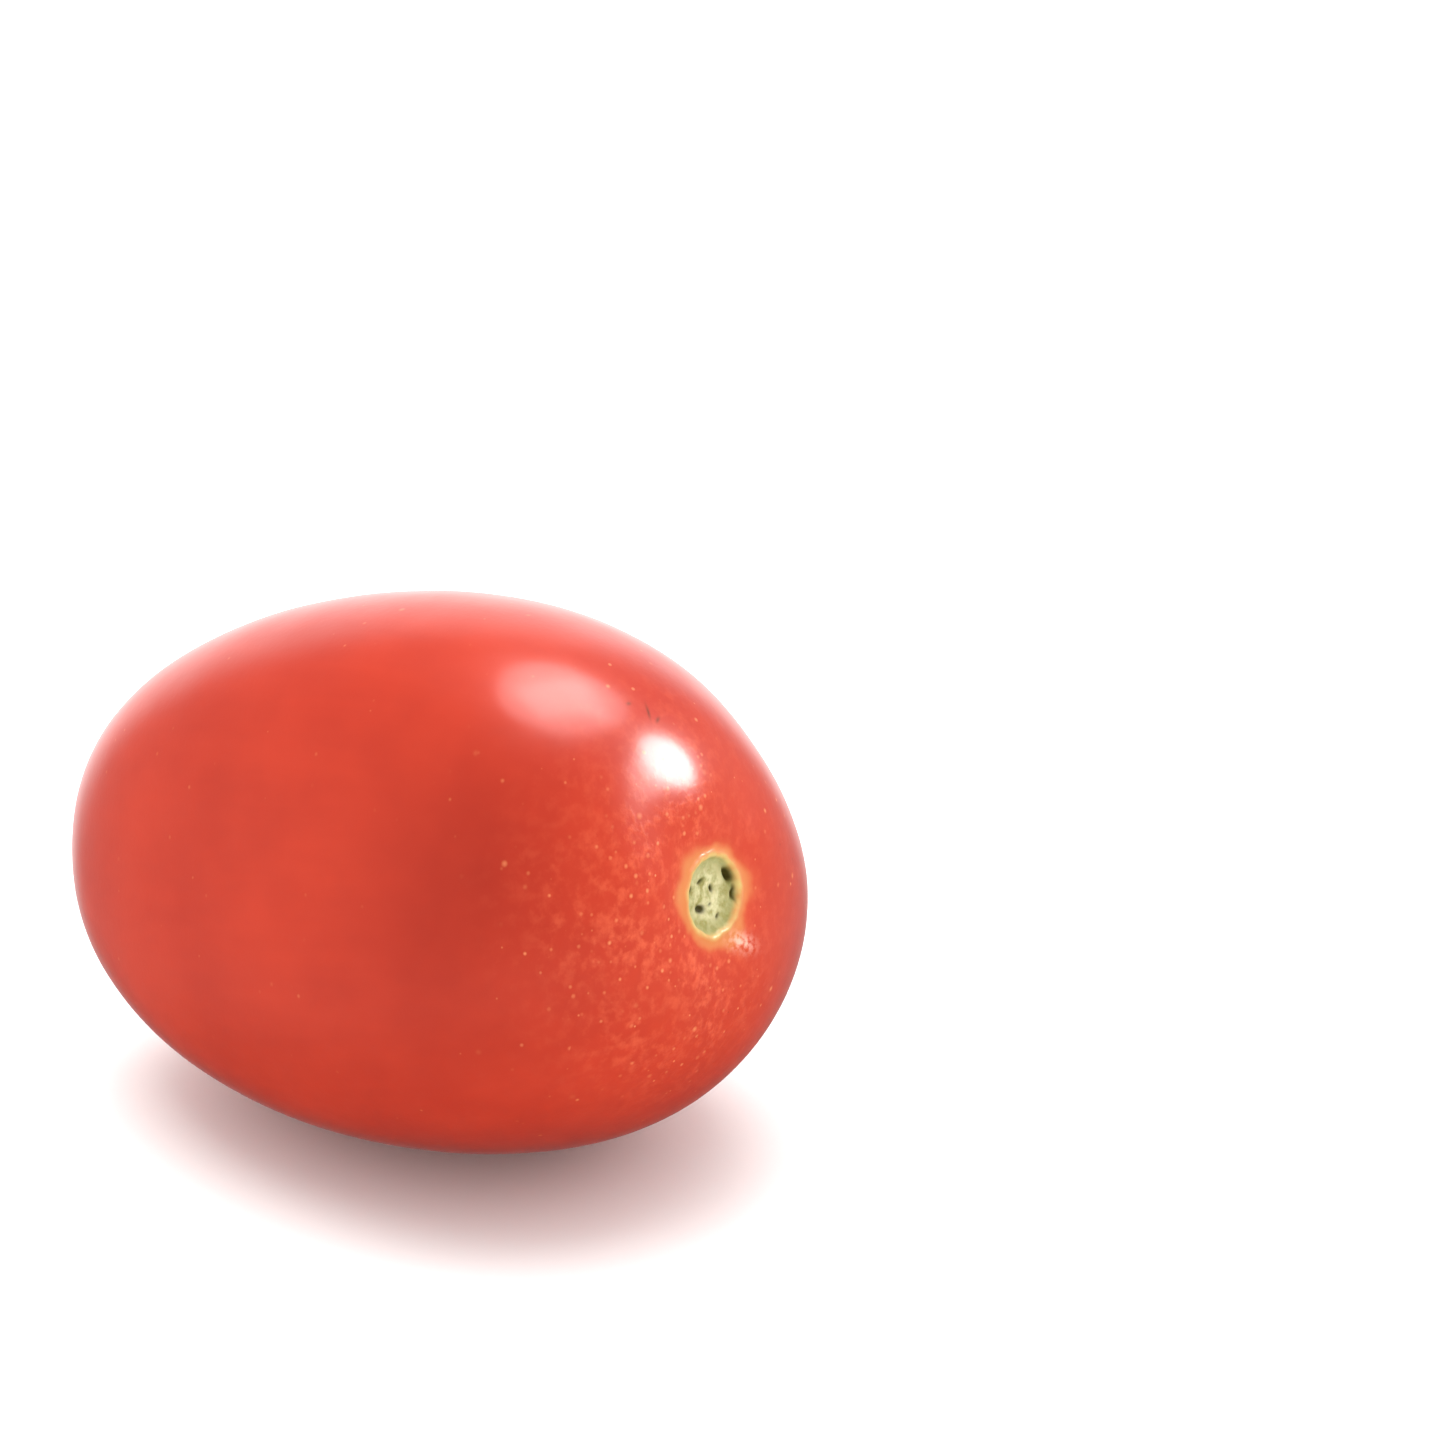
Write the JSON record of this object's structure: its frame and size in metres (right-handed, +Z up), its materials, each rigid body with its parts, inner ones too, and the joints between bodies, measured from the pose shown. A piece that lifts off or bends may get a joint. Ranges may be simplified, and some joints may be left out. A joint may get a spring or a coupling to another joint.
{
  "type": "plum tomato",
  "caption": "Ripe plum tomato lying on its side, stem scar bare, resting on a small flat spot.",
  "frame": {"origin": "bottom centre of the bounding box, on the surface the fruit lies on", "axes": "+X along the fruit's long side towards the stem end, +Z up"},
  "size_m": [0.0728, 0.0516, 0.0512],
  "materials": {
    "tomato_skin": "waxy glossy fruit skin, orange-red with fine gold flecks round the stem scar"
  },
  "bodies": {
    "root": {"tomato": "tomato_skin"}
  },
  "joints": []
}
